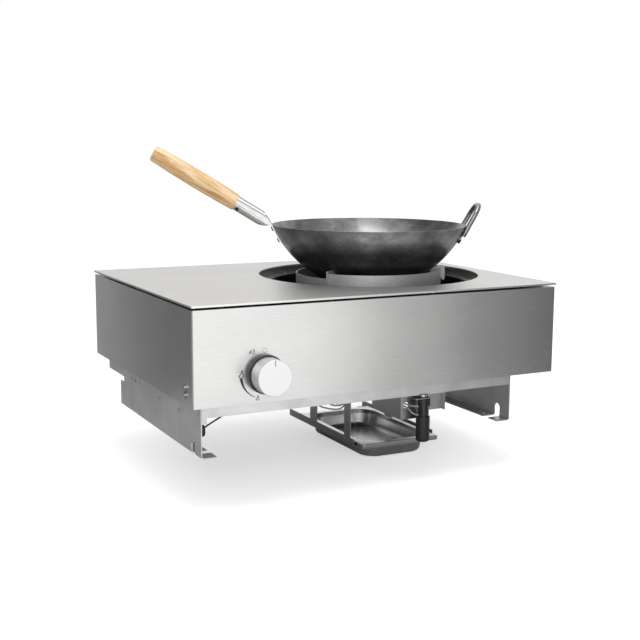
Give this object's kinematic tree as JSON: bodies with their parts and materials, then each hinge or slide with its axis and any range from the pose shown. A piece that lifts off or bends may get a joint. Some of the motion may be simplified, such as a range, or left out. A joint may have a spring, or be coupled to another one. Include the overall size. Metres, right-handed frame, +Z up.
{
  "type": "wok range",
  "caption": "Built-in gas wok range in a sheet steel housing: knob, round cooking well, lift-out ring, wok with a wooden handle, drip tray and battery igniter below.",
  "frame": {"origin": "centre of the four mounting bolt holes, on the underside of the two brackets' flanges", "axes": "+X to the right seen from the knob, +Y to the back where the gas inlet is, +Z up"},
  "size_m": [0.6968, 0.589, 0.566],
  "materials": {
    "steel": "satin",
    "plate_steel": "fine satin, nearly a mirror",
    "galvanised": "matt zinc coat",
    "black_enamel": "semi-gloss enamel",
    "cast": "rough",
    "brass": "turned",
    "wok_iron": "black, smooth",
    "polished": "polished",
    "dark_screw": "blackened steel",
    "zinc_screw": "zinc plated",
    "knob_grey": "fine grain",
    "bezel_dark": "gloss",
    "wood": "oiled beech",
    "rubber": "matt",
    "black_gloss": "gloss",
    "black_matt": "matt",
    "lead_red": "dark red sleeve",
    "lead_white": "off-white sleeve",
    "ceramic": "glazed ceramic",
    "copper": "drawn tube",
    "spring_steel": "wire"
  },
  "bodies": {
    "range": {"housing_wrap": "steel", "rear_panel": "steel", "base_plate": "galvanised", "top_plate": "plate_steel", "plate_buffers": "rubber", "plate_screws": "zinc_screw", "side_screws": "zinc_screw", "well_ring": "plate_steel", "well_wall": "black_enamel", "well_shelf": "black_enamel", "ledge_screws": "zinc_screw", "bracket_left": "galvanised", "bracket_right": "galvanised", "bracket_screws": "zinc_screw", "earth_boot": "rubber", "sub_frame": "galvanised", "wiring_cover": "galvanised", "rail_left": "steel", "rail_right": "steel", "rail_screws": "zinc_screw", "bezel": "bezel_dark", "tap_bonnet": "brass", "tap_body": "brass", "microswitch": "black_matt", "supply_pipe": "copper", "gas_inlet": "brass", "burner_pipe": "copper", "injector": "brass", "injector_stand": "galvanised", "mixing_tube": "steel", "burner_support": "steel", "burner_base": "cast", "burner_head": "cast", "burner_cap": "brass", "electrode": "ceramic", "thermocouple": "copper", "igniter_bracket": "steel", "igniter_body": "black_gloss", "igniter_nut": "black_matt", "igniter_gasket": "rubber", "igniter_clip": "black_matt", "battery": "steel", "earth_lead": "lead_red", "switch_lead": "lead_white", "spark_lead": "lead_white", "lead_clips": "black_matt"},
    "tap": {"tap_plug": "brass", "push_spring": "spring_steel"},
    "knob": {"knob": "knob_grey", "stem": "brass"},
    "wok_ring": {"ring_band": "steel", "ring_fins": "steel"},
    "wok": {"wok_bowl": "wok_iron", "ferrule": "polished", "wood_handle": "wood", "helper_loop": "wok_iron", "wok_rivets": "dark_screw", "ferrule_screw": "dark_screw"},
    "tray": {"drip_tray": "steel"},
    "igniter_cap": {"igniter_cap": "black_matt"}
  },
  "joints": [
    {"name": "tap_turn", "type": "hinge", "parent": "range", "child": "tap", "pos_m": [-0.1903, -0.202, 0.1303], "axis": [0, -1, 0], "range_deg": [0, 163]},
    {"name": "knob_push", "type": "slide", "parent": "tap", "child": "knob", "axis": [0, 1, 0], "range_m": [0, 0.003], "stiffness_N_per_m": 1500, "springref_m": -0.003, "deforming": ["push_spring"]},
    {"name": "ring_lift", "type": "slide", "parent": "range", "child": "wok_ring", "axis": [0, 0, 1], "range_m": [0, 0.12]},
    {"name": "wok_lift", "type": "slide", "parent": "wok_ring", "child": "wok", "axis": [0, 0, 1], "range_m": [0, 0.15]},
    {"name": "tray_slide", "type": "slide", "parent": "range", "child": "tray", "axis": [0, -1, 0], "range_m": [0, 0.225]},
    {"name": "cap_turn", "type": "hinge", "parent": "range", "child": "igniter_cap", "pos_m": [0.1125, -0.204, 0.023], "axis": [0, 0, 1], "range_deg": [0, 60]}
  ]
}
